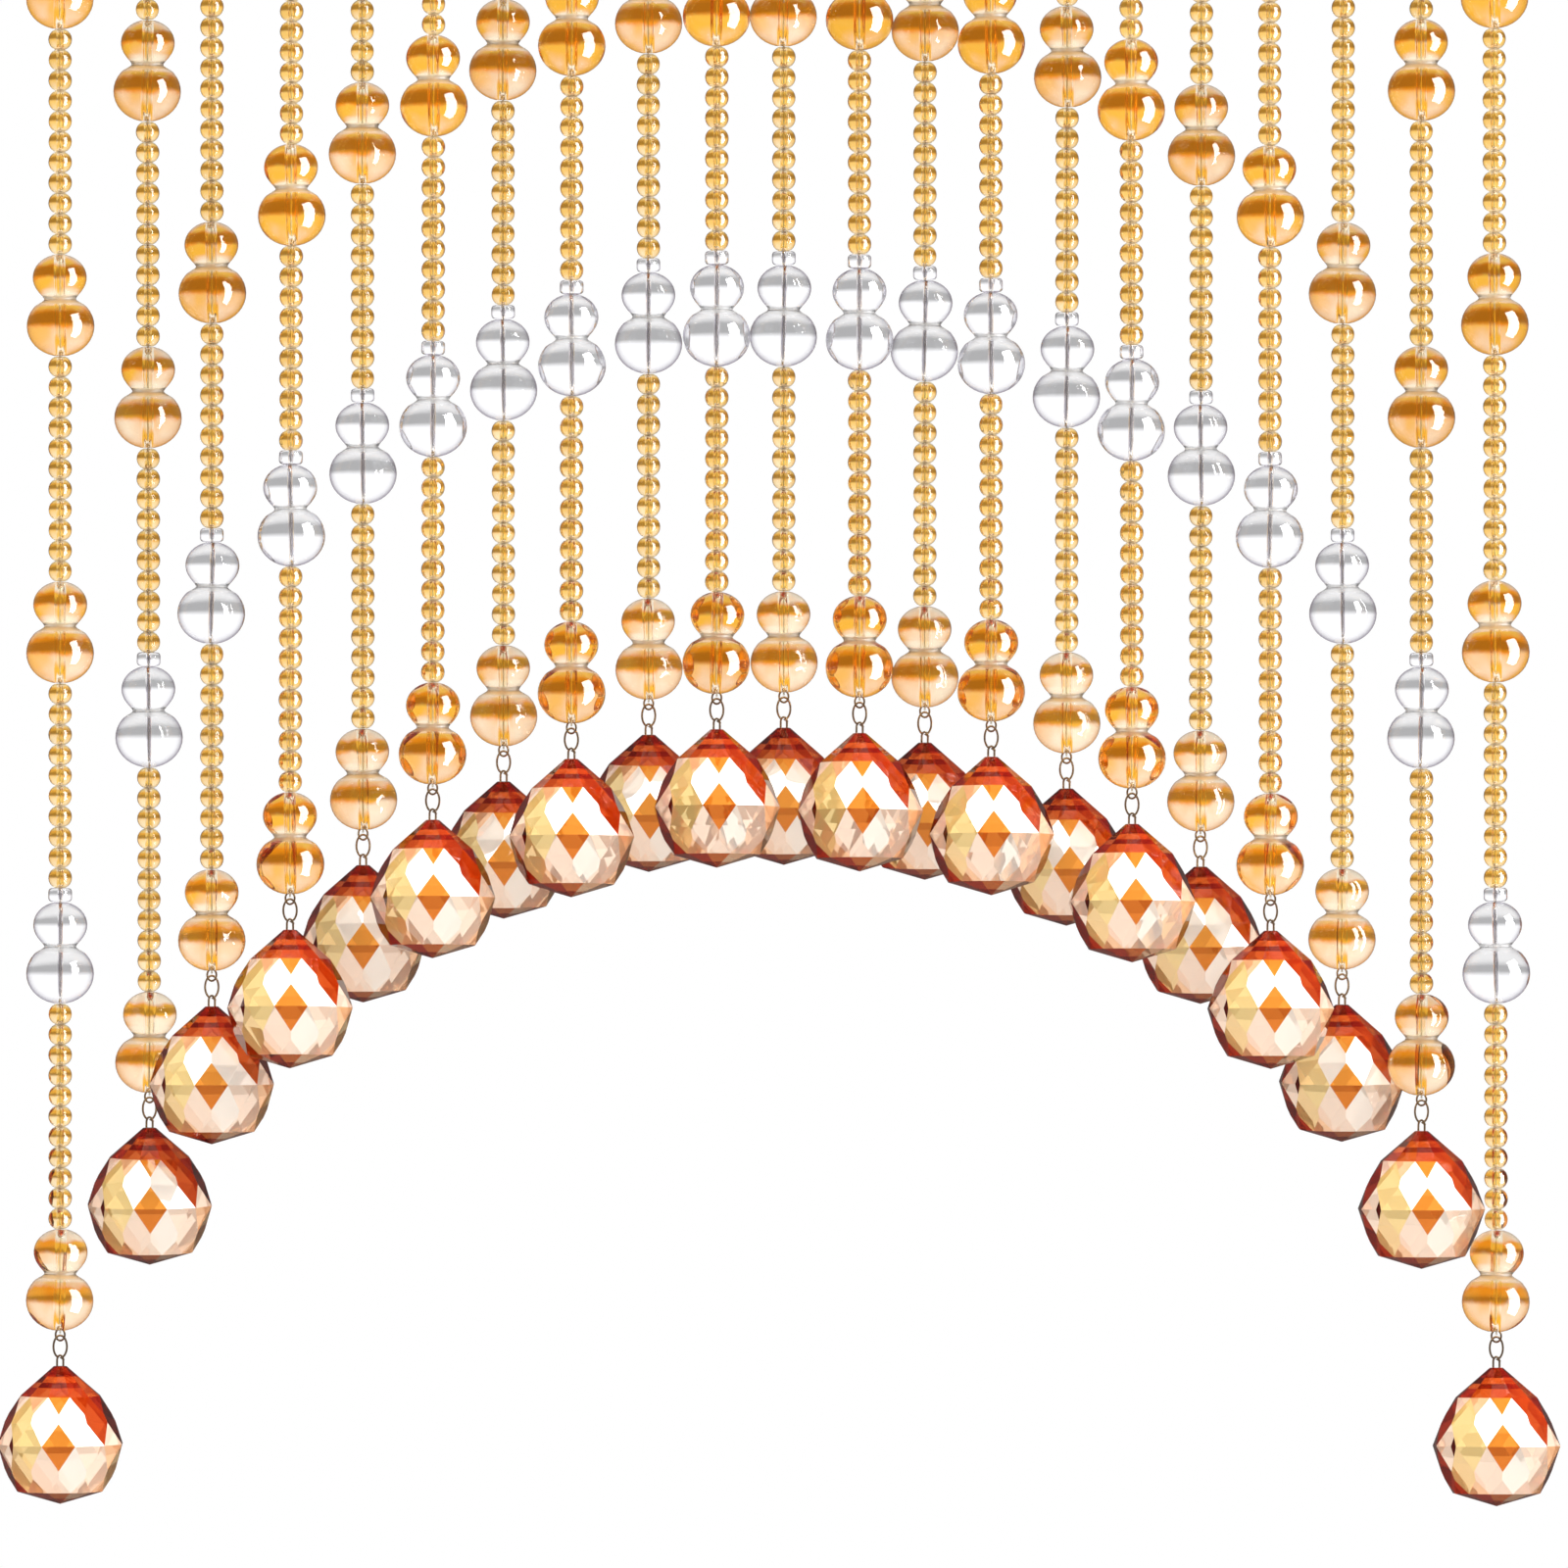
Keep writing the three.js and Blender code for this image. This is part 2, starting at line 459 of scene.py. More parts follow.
def stitch_between(start, end, side):
    """A stitch from one (along, up) place to another, sunk into the cloth at both of its ends."""
    points = []
    for share, rise in stitch_bow:
        along = start[0] + (end[0] - start[0]) * share
        up = start[1] + (end[1] - start[1]) * share
        points.append(on_cloth(along, up, side, rise))
    return points, False


half_width = tape_width / 2 / MM
tape_middle = (tape_low.x + tape_high.x) / 2 / MM
lower_edge = tape_low.z / MM
upper_edge = tape_high.z / MM
stitches = []
for side in (-1, 1):
    for row_height in row_heights:
        along = -half_width + end_row_inset
        while along + stitch_length < half_width - end_row_inset:
            height = lower_edge + row_height
            start = (tape_middle + along, height)
            stitches.append(stitch_between(start, (start[0] + stitch_length, height), side))
            along += stitch_length + stitch_gap
    for end in (-1, 1):
        along = tape_middle + end * (half_width - end_row_inset)
        height = lower_edge + row_heights[0]
        while height + stitch_length < upper_edge - fold_inset:
            stitches.append(stitch_between((along, height), (along, height + stitch_length), side))
            height += stitch_length + stitch_gap
    for number in range(1, strand_count + 1):
        strand_low, strand_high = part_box(f"strand_{number:02d}")
        middle = (strand_low.x + strand_high.x) / 2 / MM
        for index in range(tack_passes):
            first = middle - tack_width / 2 + tack_width * index / tack_passes
            after = first + tack_width / tack_passes
            ends = (lower_edge + tack_low, lower_edge + tack_high)
            start = (first, ends[index % 2])
            stitches.append(stitch_between(start, (after, ends[(index + 1) % 2]), side))
cotton = twisted_cotton("sewing thread", cotton_light, cotton_painted_shade)
stitching = bpy.data.objects.new("heading_stitches", wire_mesh(stitches, stitch_diameter, cotton))
bpy.context.collection.objects.link(stitching)
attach(stitching, "root")
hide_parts("heading_tape")

# Each strand hangs from the tape's lower edge to its ball, so its line runs from the one to the
# other. Heights along a strand are in millimetres above the tip of its ball.
ball_tip_height = 18.7
ball_point_depth = 14.5
gourd_height = 24.6
seed_bead_height = 3.3
small_bead_pitch = 4.93
hook_length = 8.5
under_tape = 0.3
stringing = [("gold gourd", 11), ("clear gourd", 10), ("gold gourd", 11)]
least_small_beads_on_top = 2
bead_tilt = 1.5
bead_chance = random.Random(7)


def strung_beads(drop):
    """Names and heights of a strand's beads from the hook up, and the height where they end."""
    beads = []
    height = hook_length
    index = 0
    while True:
        kind, small_beads_above = stringing[min(index, len(stringing) - 1)]
        top = height + gourd_height + (seed_bead_height if kind == "clear gourd" else 0)
        if drop - top < least_small_beads_on_top * small_bead_pitch:
            break
        beads.append((kind, height))
        if kind == "clear gourd":
            beads.append(("seed bead", height + gourd_height))
        height = top
        left = math.floor((drop - under_tape - height) / small_bead_pitch)
        for bead in range(min(small_beads_above, left)):
            beads.append(("small bead", height))
            height += small_bead_pitch
        index += 1
    left = math.floor((drop - under_tape - height) / small_bead_pitch)
    for bead in range(left):
        beads.append(("small bead", height))
        height += small_bead_pitch
    return beads, height


strands = []
for number in range(1, strand_count + 1):
    ball_low, ball_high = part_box(f"crystal_ball_{number:02d}")
    ball_middle = (ball_low + ball_high) / 2
    ball_middle.z = ball_low.z + ball_point_depth * MM
    root = Vector((ball_middle.x, 0, tape_low.z))
    hang = ball_middle - root
    lean = Matrix.Rotation(math.asin(hang.y / hang.length), 4, "X")
    drop = hang.length / MM - ball_tip_height
    beads, top = strung_beads(drop)
    place = Matrix.Translation(root) @ lean @ Matrix.Translation((0, 0, -drop * MM))
    strands.append({"number": number, "place": place, "drop": drop, "beads": beads, "top": top})


def turned(outline, sides):
    """Points, faces and rises of a bead turned from a closed outline of (radius, height, rise)."""
    points = []
    rises = []
    for side in range(sides):
        angle = 2 * math.pi * side / sides
        for radius, height, rise in outline:
            points.append(Vector((radius * math.sin(angle), -radius * math.cos(angle), height)))
            rises.append(rise)
    count = len(outline)
    faces = []
    for side in range(sides):
        here = side * count
        there = (side + 1) % sides * count
        for step in range(count):
            after = (step + 1) % count
            faces.append((here + step, there + step, there + after, here + after))
    return points, faces, rises


def strung_mesh(bead_shape, strand, kind, material, turn):
    """One mesh of a strand's beads of one kind. Each is turned and tipped a little by chance.

    Every point keeps its spot on its own bead, its rise up the bead and the bead's tone.
    """
    points, faces, rises = bead_shape
    middle = Matrix.Translation((0, 0, sum(point.z for point in points) / len(points)))
    corners = []
    all_faces = []
    spots = []
    bead_rises = []
    tones = []
    for height in [height for name, height in strand["beads"] if name == kind]:
        spin = Matrix.Rotation(math.radians(bead_chance.uniform(-turn, turn)), 4, "Z")
        tip = Matrix.Rotation(math.radians(bead_chance.uniform(-bead_tilt, bead_tilt)), 4, "Y")
        place = Matrix.Translation((0, 0, height)) @ middle @ spin @ tip @ middle.inverted()
        first = len(corners)
        tone = bead_chance.random()
        for point, rise in zip(points, rises):
            corners.append((place @ point) * MM)
            spots.extend(point)
            bead_rises.append(rise)
            tones.append(tone)
        for face in faces:
            all_faces.append([first + corner for corner in face])
    mesh = bpy.data.meshes.new(kind)
    mesh.from_pydata(corners, [], all_faces)
    mesh.shade_smooth()
    mesh.materials.append(material)
    mesh.attributes.new("spot", "FLOAT_VECTOR", "POINT").data.foreach_set("vector", spots)
    mesh.attributes.new("rise", "FLOAT", "POINT").data.foreach_set("value", bead_rises)
    mesh.attributes.new("tone", "FLOAT", "POINT").data.foreach_set("value", tones)
    return mesh


def hang_piece(label, mesh, strand, node="strand", height=0, turn=0):
    """Places a piece of a strand, ties it to the body and hides the node it stands for."""
    number = f"_{strand['number']:02d}"
    piece = bpy.data.objects.new(label + number, mesh)
    bpy.context.collection.objects.link(piece)
    turned_piece = Matrix.Rotation(math.radians(turn), 4, "Z")
    piece.matrix_world = strand["place"] @ Matrix.Translation((0, 0, height * MM)) @ turned_piece
    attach(piece, "root")
    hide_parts(node + number)
    return piece


# The small beads are squat round glass beads, 5.7 mm across, pressed together on the thread. They
# are gold glass with painted refraction, as the gourd beads are: a pale top, a deep band and a
# peach foot stand for the room's light and dark band seen through the glass. Their drilled ends
# are left pale and matt.
small_bead_diameter = 5.7
small_bead_bore = 1.3
small_bead_end_angle = 68
small_bead_squareness = 0.9
small_bead_steps = 8
small_bead_sides = 14
drilled_inwards = 0.15
between_beads = 0.02
refractive_index = 1.5
painted_band_raggedness = 0.3
painted_band_lower_edge = (0.43, 0.54)
painted_band_upper_edge = (0.70, 0.82)
rim_sharpness = 3.0
bead_tones = (0.93, 1.04)
smudge_range = (0.45, 0.75)
pressed_wave = 0.3 * MM
matt_roughness = 0.5


def small_bead_outline():
    """A squat round bead with flat, drilled ends: (radius, height, rise) round its section."""
    bore = small_bead_bore / 2
    half = small_bead_pitch / 2 - between_beads
    outline = []
    for step in range(small_bead_steps + 1):
        share = step / small_bead_steps
        angle = math.radians(-small_bead_end_angle + 2 * small_bead_end_angle * share)
        radius = small_bead_diameter / 2 * math.cos(angle) ** small_bead_squareness
        height = half + half * math.sin(angle) / math.sin(math.radians(small_bead_end_angle))
        outline.append((radius, height, share))
    outline.append((bore, 2 * half - drilled_inwards, 1))
    outline.append((bore, drilled_inwards, 1))
    return outline


def stored(nodes, name):
    """The node that reads a value which the mesh holds for each of its points or corners."""
    node = nodes.new("ShaderNodeAttribute")
    node.attribute_name = name
    return node


def painted_refraction_pattern():
    """A node group for painted refraction on gold glass: pale top, deep ragged band, peach lower half.
    """
    inputs = [("Top", "Color"), ("Band", "Color"), ("Foot", "Color"), ("Raggedness", "Float")]
    group, given, result = socketed_group("gold lustre", inputs, [("Color", "Color")])
    nodes = group.nodes
    links = group.links
    rise = stored(nodes, "rise").outputs["Fac"]
    streaks = noise(nodes, links, stored(nodes, "spot").outputs["Vector"], scale=0.22, detail=3)
    centred = calculated(nodes, links, "SUBTRACT", streaks, 0.5)
    ragged = calculated(nodes, links, "MULTIPLY_ADD", centred, given.outputs["Raggedness"], rise)
    lower = ranged(nodes, links, ragged, *painted_band_lower_edge, smooth=True)
    upper = ranged(nodes, links, ragged, *painted_band_upper_edge, smooth=True)
    foot_to_band = mixed_colour(nodes, links, lower, given.outputs["Foot"], given.outputs["Band"])
    band_to_top = mixed_colour(nodes, links, upper, foot_to_band, given.outputs["Top"])
    links.new(band_to_top, result.inputs["Color"])
    return group


def handled_glass_pattern():
    """A node group for the surface of pressed glass: faint smudges and a slow waviness."""
    inputs = [("Vector", "Vector"), ("Most", "Float")]
    group, given, result = socketed_group(
        "handled glass", inputs, [("Roughness", "Float"), ("Height", "Float")]
    )
    nodes = group.nodes
    links = group.links
    smudges = noise(nodes, links, given.outputs["Vector"], scale=0.35, detail=5)
    roughness = ranged(nodes, links, smudges, *smudge_range, 0, given.outputs["Most"])
    waves = noise(nodes, links, given.outputs["Vector"], scale=0.16, detail=1)
    links.new(roughness, result.inputs["Roughness"])
    links.new(waves, result.inputs["Height"])
    return group


def matt_zone_pattern():
    """A node group that masks a zone round a bead, by the distance from a middle height."""
    inputs = [("Vector", "Vector"), ("Middle", "Float"), ("Polished", "Float"), ("Matt", "Float")]
    group, given, result = socketed_group("matt zone", inputs, [("Mask", "Float")])
    nodes = group.nodes
    links = group.links
    parts = nodes.new("ShaderNodeSeparateXYZ")
    links.new(given.outputs["Vector"], parts.inputs[0])
    above = calculated(nodes, links, "SUBTRACT", parts.outputs["Z"], given.outputs["Middle"])
    distance = calculated(nodes, links, "ABSOLUTE", above)
    polished = given.outputs["Polished"]
    mask = ranged(nodes, links, distance, polished, given.outputs["Matt"], smooth=True)
    links.new(mask, result.inputs["Mask"])
    return group


painted_refraction_group = painted_refraction_pattern()
handled_glass_group = handled_glass_pattern()
matt_zone_group = matt_zone_pattern()


def new_glass(name, clearness):
    """A new material of glass with its nodes, its links and its Principled shader."""
    material, nodes, links, shader = new_material(name)
    shader.inputs["IOR"].default_value = refractive_index
    shader.inputs["Transmission Weight"].default_value = clearness
    return material, nodes, links, shader


def turned_away(nodes):
    """How far the surface turns away from the eye, from 0 where it faces it to 1 at the rim."""
    facing = nodes.new("ShaderNodeLayerWeight")
    facing.inputs["Blend"].default_value = 0.5
    return facing.outputs["Facing"]


def smudged(nodes, links, shader, place, most):
    """Smudges glass up to a roughness. The result is the height of the glass's slow waves."""
    handled = nodes.new("ShaderNodeGroup")
    handled.node_tree = handled_glass_group
    handled.inputs["Most"].default_value = most
    links.new(place, handled.inputs["Vector"])
    links.new(handled.outputs["Roughness"], shader.inputs["Roughness"])
    return handled.outputs["Height"]


def gold_glass_with_painted_refraction(name, top, band, foot, rim):
    """Clear gold glass with bands of painted refraction, darker towards the rim as painted shade."""
    material, nodes, links, shader = new_glass(name, clearness=1.0)
    # Bands of painted refraction, set by each point's rise up its bead.
    painted_bands = nodes.new("ShaderNodeGroup")
    painted_bands.node_tree = painted_refraction_group
    painted_bands.inputs["Top"].default_value = top
    painted_bands.inputs["Band"].default_value = band
    painted_bands.inputs["Foot"].default_value = foot
    painted_bands.inputs["Raggedness"].default_value = painted_band_raggedness
    # The rim colour darkens the glass towards its outline as painted shade.
    edge = calculated(nodes, links, "POWER", turned_away(nodes), rim_sharpness)
    rimmed = mixed_colour(nodes, links, edge, painted_bands.outputs["Color"], rim)
    tone = ranged(nodes, links, stored(nodes, "tone").outputs["Fac"], 0, 1, *bead_tones)
    toned = nodes.new("ShaderNodeHueSaturation")
    links.new(tone, toned.inputs["Value"])
    links.new(rimmed, toned.inputs["Color"])
    links.new(toned.outputs["Color"], shader.inputs["Base Color"])
    waves = smudged(nodes, links, shader, stored(nodes, "spot").outputs["Vector"], most=0.03)
    bumped(nodes, links, shader, waves, pressed_wave, strength=0.35)
    return material


def matt_zone(material, middle, polished, matt, colour):
    """Fades a bead's glass to pale and matt, from one distance from its middle height to another."""
    nodes = material.node_tree.nodes
    links = material.node_tree.links
    roughness = nodes["Principled BSDF"].inputs["Roughness"]
    base_colour = nodes["Principled BSDF"].inputs["Base Color"]
    polished_roughness = roughness.links[0].from_socket
    polished_colour = base_colour.links[0].from_socket
    zone = nodes.new("ShaderNodeGroup")
    zone.node_tree = matt_zone_group
    zone.inputs["Middle"].default_value = middle
    zone.inputs["Polished"].default_value = polished
    zone.inputs["Matt"].default_value = matt
    links.new(stored(nodes, "spot").outputs["Vector"], zone.inputs["Vector"])
    mask = zone.outputs["Mask"]
    links.new(ranged(nodes, links, mask, 0, 1, polished_roughness, matt_roughness), roughness)
    links.new(mixed_colour(nodes, links, mask, polished_colour, colour), base_colour)


# Gold glass: the band is painted refraction of the room's dark band, and the rim colour is painted
# shade.
small_glass = gold_glass_with_painted_refraction(
    "small bead glass",
    top=(1.0, 0.97, 0.78, 1),
    band=(0.91, 0.44, 0.05, 1),
    foot=(1.0, 0.80, 0.50, 1),
    rim=(0.16, 0.04, 0.003, 1),
)
matt_zone(small_glass, middle=small_bead_pitch / 2, polished=1.5, matt=2.3, colour=(1.0, 0.88, 0.70, 1))
small_bead_shape = turned(small_bead_outline(), small_bead_sides)
for strand in strands:
    mesh = strung_mesh(small_bead_shape, strand, "small bead", small_glass, turn=15)
    beads_lit.objects.link(hang_piece("small_beads", mesh, strand))

# The gourd beads are two bulbs in one pressed piece of glass, the lower one larger, with a narrow
# waist that comes matt from the mould. A wide bore runs through the gold ones, and the thread
# shows in it.
lower_bulb = {"diameter": 16.3, "height": 14.6, "first": 12, "last": 128}
upper_bulb = {"diameter": 13.0, "height": 11.2, "first": 55, "last": 166}
bulb_steps = 12
waist_diameter = 7.6
waist_height = 13.75
waist_straight = 1.4
waist_steps = 5
waist_foot_rise = 0.1
bore_lip = 0.1
gold_bore = 2.0
bore_steps = 4
gourd_sides = 36
matt_waist = {"middle": waist_height - 0.2, "polished": 1.6, "matt": 0.5}


def bulb_points(bulb, pole):
    """Outline points of one bulb, an ellipse that starts at a pole height, with their rises."""
    points = []
    for step in range(bulb_steps + 1):
        angle = math.radians(bulb["first"] + (bulb["last"] - bulb["first"]) * step / bulb_steps)
        rise = (1 - math.cos(angle)) / 2
        points.append((bulb["diameter"] / 2 * math.sin(angle), pole + bulb["height"] * rise, rise))
    return points


def between(before, start, end, after, steps):
    """Points of a smooth curve from start to end that follows the outline on both sides."""
    points = []
    for step in range(1, steps):
        share = step / steps
        blend = []
        for a, b, c, d in zip(before, start, end, after):
            first_pull = b - a
            last_pull = d - c
            blend.append(
                b * (2 * share**3 - 3 * share**2 + 1)
                + first_pull * (share**3 - 2 * share**2 + share)
                + c * (3 * share**2 - 2 * share**3)
                + last_pull * (share**3 - share**2)
            )
        points.append(tuple(blend))
    return points


def gourd_outline(bore_diameter):
    """The section of a gourd bead with its bore: (radius, height, rise) all the way round.

    The waist has the lower bulb's pale top below it and the upper bulb's peach foot above it, in
    the bands of painted refraction.
    """
    lower = bulb_points(lower_bulb, 0)
    upper = bulb_points(upper_bulb, gourd_height - upper_bulb["height"])
    waist = (waist_diameter / 2, waist_height, 1.0)
    waist_below = (waist_diameter / 2, waist_height - waist_straight, 1.0)
    waist_above = (waist_diameter / 2, waist_height + waist_straight, 0.0)
    into_waist = between(lower[-3], lower[-1], waist, waist_above, waist_steps)
    out_of_waist = between(waist_below, waist, upper[0], upper[2], waist_steps)
    out_of_waist = [(radius, height, waist_foot_rise) for radius, height, rise in out_of_waist]
    bore = bore_diameter / 2
    top = upper[-1][1] - bore_lip
    foot = lower[0][1] + bore_lip
    bore_line = []
    for step in range(bore_steps + 1):
        bore_line.append((bore, foot + (top - foot) * (1 - step / bore_steps), 1))
    return [*lower, *into_waist, waist, *out_of_waist, *upper, *bore_line]


# Gold glass: the band is painted refraction of the room's dark band, and the rim colour is painted
# shade.
gold_glass = gold_glass_with_painted_refraction(
    "gold gourd glass",
    top=(1.0, 0.99, 0.88, 1),
    band=(0.94, 0.29, 0.004, 1),
    foot=(1.0, 0.84, 0.62, 1),
    rim=(0.50, 0.18, 0.03, 1),
)
matt_zone(gold_glass, **matt_waist, colour=(1.0, 0.84, 0.66, 1))
gold_gourd_shape = turned(gourd_outline(gold_bore), gourd_sides)
for strand in strands:
    mesh = strung_mesh(gold_gourd_shape, strand, "gold gourd", gold_glass, turn=6)
    beads_lit.objects.link(hang_piece("gold_gourds", mesh, strand))

# One gourd bead in each strand is of clear, colourless glass, with a clear seed bead on top of it.
# Their bore is narrow, and the glass round it is coloured grey.
clear_bore = 0.9
seed_bead_diameter = 5.7
seed_bead_rounding = 0.9
seed_bead_steps = 4
seed_bead_sides = 24
clear_middle = (0.97, 0.97, 0.99, 1)
clear_rim_painted_shade = (0.24, 0.22, 0.31, 1)
clear_rim_range = (0.38, 0.85)
bore_grey = (0.42, 0.40, 0.45, 1)
bore_grey_range = (clear_bore / 2 + 0.3, clear_bore / 2 + 0.1)

clear_glass, nodes, links, shader = new_glass("clear glass", clearness=1.0)
spot = stored(nodes, "spot").outputs["Vector"]
# Towards its outline the colourless glass is painted grey-lilac as shade.
edge = ranged(nodes, links, turned_away(nodes), *clear_rim_range, smooth=True)
rimmed = mixed_colour(nodes, links, edge, clear_middle, clear_rim_painted_shade)
in_bore = ranged(nodes, links, from_axis(nodes, links, spot), *bore_grey_range)
links.new(mixed_colour(nodes, links, in_bore, rimmed, bore_grey), shader.inputs["Base Color"])
waves = smudged(nodes, links, shader, spot, most=0.02)
bumped(nodes, links, shader, waves, pressed_wave, strength=0.25)
matt_zone(clear_glass, **matt_waist, colour=(1.0, 1.0, 1.0, 1))


def seed_outline():
    """A short tube with rounded edges, drilled through: (radius, height, rise) round its section."""
    radius = seed_bead_diameter / 2
    top = seed_bead_height - between_beads
    foot_edge = []
    top_edge = []
    for step in range(seed_bead_steps + 1):
        angle = math.radians(90 * step / seed_bead_steps)
        from_side = seed_bead_rounding * (1 - math.sin(angle))
        from_end = seed_bead_rounding * (1 - math.cos(angle))
        foot_edge.append((radius - from_side, from_end, 0.2))
        top_edge.append((radius - from_end, top - from_side, 0.8))
    return [*foot_edge, *top_edge, (clear_bore / 2, top, 1), (clear_bore / 2, 0, 0)]


clear_gourd_shape = turned(gourd_outline(clear_bore), gourd_sides)
seed_bead_shape = turned(seed_outline(), seed_bead_sides)
for strand in strands:
    mesh = strung_mesh(clear_gourd_shape, strand, "clear gourd", clear_glass, turn=6)
    beads_lit.objects.link(hang_piece("clear_gourd", mesh, strand))
    mesh = strung_mesh(seed_bead_shape, strand, "seed bead", clear_glass, turn=6)
    beads_lit.objects.link(hang_piece("clear_seed_bead", mesh, strand))

# A nylon thread runs from the wire eye up through every bead. Above the top bead it is doubled,
# twisted and sewn into the tape.
thread_diameter = 0.45
through_eye = 0.6
in_top_bead = 0.2
sewn_in = 5.0
doubled_offset = 0.4
twist_pitch = 3.0
twist_steps = 40
parting_steps = 4
nylon_shade = (0.80, 0.76, 0.62, 1)
nylon_light = (0.97, 0.95, 0.86, 1)
fibre_scale = 900

nylon, nodes, links, shader = new_material("nylon thread")
shader.inputs["IOR"].default_value = 1.52
shader.inputs["Transmission Weight"].default_value = 0.5
shader.inputs["Roughness"].default_value = 0.3
place = nodes.new("ShaderNodeTexCoord")
fibres = noise(nodes, links, place.outputs["Object"], fibre_scale, detail=2)
links.new(mixed_colour(nodes, links, fibres, nylon_shade, nylon_light), shader.inputs["Base Color"])

for strand in strands:
    top = strand["top"]
    end = strand["drop"] + sewn_in
    lines = [([(0, 0, hook_length - through_eye), (0, 0, top)], False)]
    for side in (0, math.pi):
        twisted = []
        for step in range(twist_steps + 1):
            height = top - in_top_bead + (end - top) * step / twist_steps
            angle = side + 2 * math.pi * (height - top) / twist_pitch
            offset = doubled_offset * min(1, step / parting_steps)
            twisted.append((offset * math.cos(angle), offset * math.sin(angle), height))
        lines.append((twisted, False))
    hang_piece("thread", wire_mesh(lines, thread_diameter, nylon), strand)

# Under the lowest bead the thread ends in a small brass eye. An open oval link of thin brass wire
# hangs in it and carries the ball by a pin eye set in the ball's tip.
wire_diameter = 0.5
link_end = (1.0, 0.2, 1.5)
pin_leg = 0.75
pin_bend = 0.9
pin_depth = 1.2
brass_bright = (0.90, 0.78, 0.56, 1)
brass_tarnished = (0.34, 0.24, 0.13, 1)
tarnish_scale = 700
brass_roughness = (0.15, 0.45)

brass, nodes, links, shader = new_material("brass wire")
shader.inputs["Metallic"].default_value = 1.0
place = nodes.new("ShaderNodeTexCoord")
tarnish = noise(nodes, links, place.outputs["Object"], tarnish_scale, detail=4)
tarnish_colour = mixed_colour(nodes, links, tarnish, brass_bright, brass_tarnished)
links.new(tarnish_colour, shader.inputs["Base Color"])
links.new(ranged(nodes, links, tarnish, 0, 1, *brass_roughness), shader.inputs["Roughness"])


def oval(width, height, middle, turn, first, last, steps):
    """Points on an upright oval ring about a middle height, turned about the strand, in degrees."""
    points = []
    for step in range(steps + 1):
        angle = math.radians(first + (last - first) * step / steps)
        across = width / 2 * math.sin(angle)
        up = middle + height / 2 * math.cos(angle)
        points.append((across * math.cos(math.radians(turn)), across * math.sin(math.radians(turn)), up))
    return points


eye = oval(width=2.5, height=2.9, middle=hook_length - 0.9, turn=-24, first=0, last=345, steps=15)
link = oval(width=3.3, height=5.4, middle=4.7, turn=14, first=-152, last=178, steps=30)
link.append(link_end)
pin = [(-pin_leg, 0, -pin_depth), (-pin_leg, 0, pin_bend)]
pin += oval(width=2 * pin_leg, height=2.4, middle=1.4, turn=0, first=-80, last=80, steps=10)
pin += [(pin_leg, 0, pin_bend), (pin_leg, 0, -pin_depth)]
hook_mesh = wire_mesh([(eye, True), (link, False), (pin, False)], wire_diameter, brass)
for strand in strands:
    hang_piece("hook", hook_mesh, strand)

# The crystal balls are amber glass, cut all round in flat facets: a belt of diamonds on edge, large
# diamonds above and below it, small triangles, and a crown that runs up to the drilled tip.
facets_around = 12
half_facet = math.pi / facets_around
widest_radius = 15.5
tip = {"height": ball_tip_height, "radius": 1.6}
crown = {"height": 11.6, "radius": 9.9}
base = {"height": -11.4, "radius": 10.6}
crown_rows = (16.3, 14.9, 13.7)
shoulder_heights = (7.5, 5.4)
hip_heights = (-6.0, -8.0)


def in_large_facet(height, end):
    """Radius of a corner on the edge of the large diamonds between the widest ring and an end."""
    middle_radius = widest_radius + (end["radius"] - widest_radius) * height / end["height"]
    return middle_radius / math.cos(half_facet)


ball_rings = [
    (tip["height"], tip["radius"], True),
    (crown["height"], crown["radius"], True),
    (shoulder_heights[0], in_large_facet(shoulder_heights[0], crown), False),
    (shoulder_heights[1], in_large_facet(shoulder_heights[1], crown), False),
    (0, widest_radius, True),
    (hip_heights[0], in_large_facet(hip_heights[0], base), False),
    (hip_heights[1], in_large_facet(hip_heights[1], base), False),
    (base["height"], base["radius"], True),
]
for height in crown_rows:
    share = (tip["height"] - height) / (tip["height"] - crown["height"])
    ball_rings.append((height, tip["radius"] + (crown["radius"] - tip["radius"]) * share, True))
ball_corners = []
for height, radius, half_turn in ball_rings:
    for corner in range(facets_around):
        angle = 2 * half_facet * (corner + (0.5 if half_turn else 0))
        ball_corners.append(Vector((radius * math.sin(angle), -radius * math.cos(angle), height)))
ball_point = len(ball_corners)
ball_corners.append(Vector((0, 0, -ball_point_depth)))


def ring_corner(ring, corner):
    """Index of a corner, counted round its ring from the one that faces the viewer."""
    return ring * facets_around + corner % facets_around


# The rings count from 0 at the tip to 7 at the base, as they are listed above. The crown rows, 8 to
# 10, lie between rings 0 and 1.
ball_facets = [("cap", 0, [ring_corner(0, corner) for corner in range(facets_around)])]
for k in range(facets_around):
    c = ring_corner
    for row, (above, below) in enumerate([(0, 8), (8, 9), (9, 10), (10, 1)]):
        corners = [c(above, k), c(above, k - 1), c(below, k - 1), c(below, k)]
        ball_facets.append((f"crown row {row + 1}", k, corners))
    ball_facets.append(("shoulder", k, [c(1, k - 1), c(2, k), c(1, k)]))
    ball_facets.append(("upper", k, [c(1, k), c(2, k), c(3, k), c(4, k), c(3, k + 1), c(2, k + 1)]))
    ball_facets.append(("belt top", k, [c(3, k), c(4, k - 1), c(4, k)]))
    ball_facets.append(("belt foot", k, [c(5, k), c(4, k), c(4, k - 1)]))
    ball_facets.append(("lower", k, [c(7, k), c(6, k + 1), c(5, k + 1), c(4, k), c(5, k), c(6, k)]))
    ball_facets.append(("hip", k, [c(7, k - 1), c(7, k), c(6, k)]))
    ball_facets.append(("base", k, [c(7, k), c(7, k - 1), ball_point]))
